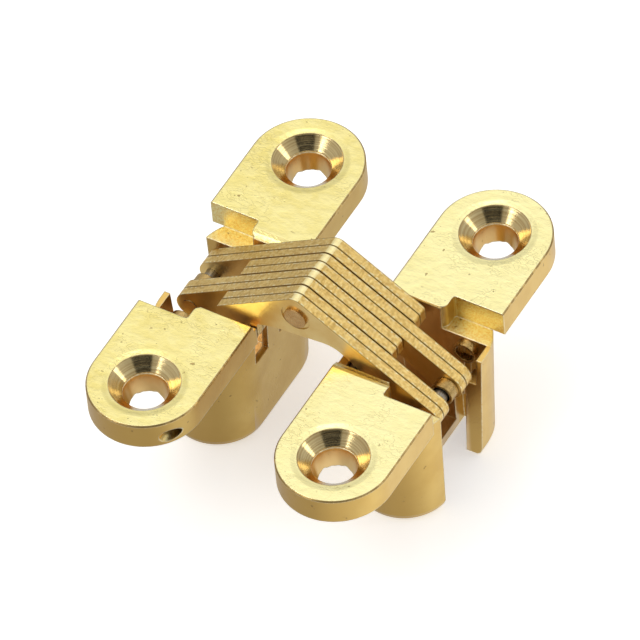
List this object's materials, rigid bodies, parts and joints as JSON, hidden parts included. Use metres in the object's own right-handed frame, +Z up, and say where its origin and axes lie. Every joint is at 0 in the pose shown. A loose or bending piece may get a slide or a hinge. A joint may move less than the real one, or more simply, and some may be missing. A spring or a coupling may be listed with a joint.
{
  "type": "concealed door hinge",
  "caption": "Concealed scissor hinge with two mortise-mounted brass leaves joined by crossed flat links, stored fully open.",
  "frame": {"origin": "bottom centre of the whole, open hinge: midway between the two leaves at the foot of their cups", "axes": "+X across the leaves from leaf A to leaf B, +Y along the door edge, +Z up out of the leaves' faces"},
  "size_m": [0.0342, 0.045, 0.0235],
  "materials": {
    "cast_brass": "gold-plated die casting, polished faces over a fine cast texture",
    "stamped_brass": "gold-plated stampings with sheared edges",
    "rivet_brass": "gold-plated, smooth",
    "sleeve_brass": "gold-plated, smooth",
    "pin_steel": "plain drawn steel"
  },
  "bodies": {
    "leaf_a": {"housing_a": "cast_brass", "pivot_pin_a": "pin_steel"},
    "b_links": {"link_b1": "stamped_brass", "link_b2": "stamped_brass", "link_b3": "stamped_brass", "link_b4": "stamped_brass", "centre_rivet": "rivet_brass", "slide_pin_b": "pin_steel", "sleeve_b": "sleeve_brass"},
    "a_links": {"link_a1": "stamped_brass", "link_a2": "stamped_brass", "link_a3": "stamped_brass", "link_a4": "stamped_brass", "slide_pin_a": "pin_steel", "sleeve_a": "sleeve_brass"},
    "leaf_b": {"housing_b": "cast_brass", "pivot_pin_b": "pin_steel"}
  },
  "joints": [
    {"name": "b_turn", "type": "hinge", "parent": "leaf_a", "child": "b_links", "pos_m": [-0.0062, 0, 0.0156], "axis": [0, -1, 0], "range_deg": [0, 119.58]},
    {"name": "a_turn", "type": "hinge", "parent": "b_links", "child": "a_links", "pos_m": [0, 0, 0.02085], "axis": [0, -1, 0], "range_deg": [-59.2, 0]},
    {"name": "leaf_b_turn", "type": "hinge", "parent": "a_links", "child": "leaf_b", "pos_m": [0.0062, 0, 0.0156], "axis": [0, -1, 0], "range_deg": [0, 119.6]}
  ],
  "couplings": [
    {"joint": "a_turn", "follows": "b_turn", "ratio": -0.49476},
    {"joint": "leaf_b_turn", "follows": "b_turn", "ratio": 1}
  ]
}
